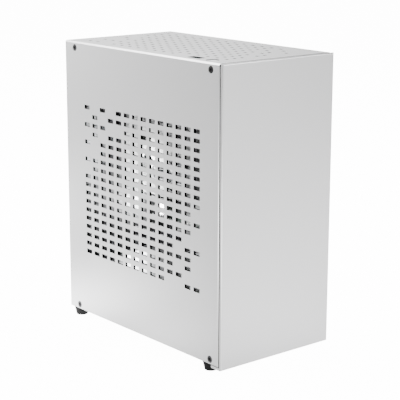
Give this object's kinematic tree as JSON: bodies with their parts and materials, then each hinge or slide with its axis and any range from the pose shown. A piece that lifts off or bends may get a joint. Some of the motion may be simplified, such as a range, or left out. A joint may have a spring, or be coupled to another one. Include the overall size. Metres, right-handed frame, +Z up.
{
  "type": "desktop computer tower",
  "caption": "Small upright desktop computer: silver aluminium case with slotted side and top panels, power button and USB socket on top, board, cooler and power supply inside.",
  "frame": {"origin": "centre of the bounding box at ground level, under the feet", "axes": "+Z up, -Y out of the plain front plate, -X out of the slotted side panel seen in the picture"},
  "size_m": [0.116, 0.208, 0.2455],
  "materials": {
    "satin_aluminium": "bead-blasted silver anodised aluminium",
    "black_screws": "black oxide steel, cross recess",
    "black_rubber": "matt black rubber",
    "bright_button": "turned aluminium cap",
    "sheet_steel": "zinc-plated sheet steel",
    "steel_hardware": "plated steel",
    "socket_metal": "folded plated socket shell",
    "black_plastic": "matt black plastic",
    "white_plastic": "white moulded plastic",
    "cream_plastic": "natural nylon plug body",
    "board_green": "green circuit board",
    "heatsink_aluminium": "extruded aluminium fins",
    "contact_brass": "plated brass contacts",
    "core_brown": "taped transformer core",
    "sleeve_black": "braided black sleeve"
  },
  "bodies": {
    "case": {"front_panel": "satin_aluminium", "left_side_panel": "satin_aluminium", "right_side_panel": "satin_aluminium", "top_panel": "satin_aluminium", "left_panel_screws": "black_screws", "right_panel_screws": "black_screws", "psu_screws": "black_screws", "rubber_feet": "black_rubber", "front_frame": "sheet_steel", "base_plate": "sheet_steel", "top_rails": "sheet_steel", "bottom_rails": "sheet_steel", "rear_panel": "sheet_steel", "motherboard_tray": "sheet_steel", "slot_cover": "sheet_steel", "psu_case": "sheet_steel", "psu_cover": "sheet_steel", "io_shield": "sheet_steel", "slot_cover_screws": "steel_hardware", "board_screws": "steel_hardware", "processor": "steel_hardware", "front_usb_shell": "socket_metal", "rear_usb_lower": "socket_metal", "rear_usb_upper": "socket_metal", "lan_jack": "socket_metal", "display_socket": "socket_metal", "power_button_guide": "black_plastic", "power_switch": "black_plastic", "cpu_socket": "black_plastic", "memory_slots": "black_plastic", "expansion_slot": "black_plastic", "front_lead_plug": "black_plastic", "audio_jacks": "black_plastic", "psu_fan_frame": "black_plastic", "power_inlet": "black_plastic", "psu_capacitor": "black_plastic", "ssd_drive": "black_plastic", "front_usb_tongue": "white_plastic", "cooler_fan_frame": "white_plastic", "main_power_socket": "cream_plastic", "main_power_plug": "cream_plastic", "front_io_board": "board_green", "motherboard": "board_green", "memory_module_front": "board_green", "memory_module_rear": "board_green", "psu_board": "board_green", "cooler_heatsink": "heatsink_aluminium", "chipset_heatsink": "heatsink_aluminium", "inlet_pins": "contact_brass", "board_standoffs": "contact_brass", "io_board_spacers": "contact_brass", "psu_transformer": "core_brown", "main_power_lead": "sleeve_black", "front_lead": "sleeve_black"},
    "power_button": {"power_button": "bright_button", "switch_plunger": "black_plastic"},
    "cooler_rotor": {"cooler_fan_rotor": "white_plastic"},
    "psu_rotor": {"psu_fan_rotor": "black_plastic"}
  },
  "joints": [
    {"name": "power_button_press", "type": "slide", "parent": "case", "child": "power_button", "axis": [0, 0, -1], "range_m": [0, 0.001], "stiffness_N_per_m": 300},
    {"name": "cooler_fan_spin", "type": "hinge", "parent": "case", "child": "cooler_rotor", "pos_m": [0, 0.036, 0.16], "axis": [-1, 0, 0], "continuous": true},
    {"name": "psu_fan_spin", "type": "hinge", "parent": "case", "child": "psu_rotor", "pos_m": [0.023, 0.095, 0.02925], "axis": [0, -1, 0], "continuous": true}
  ]
}
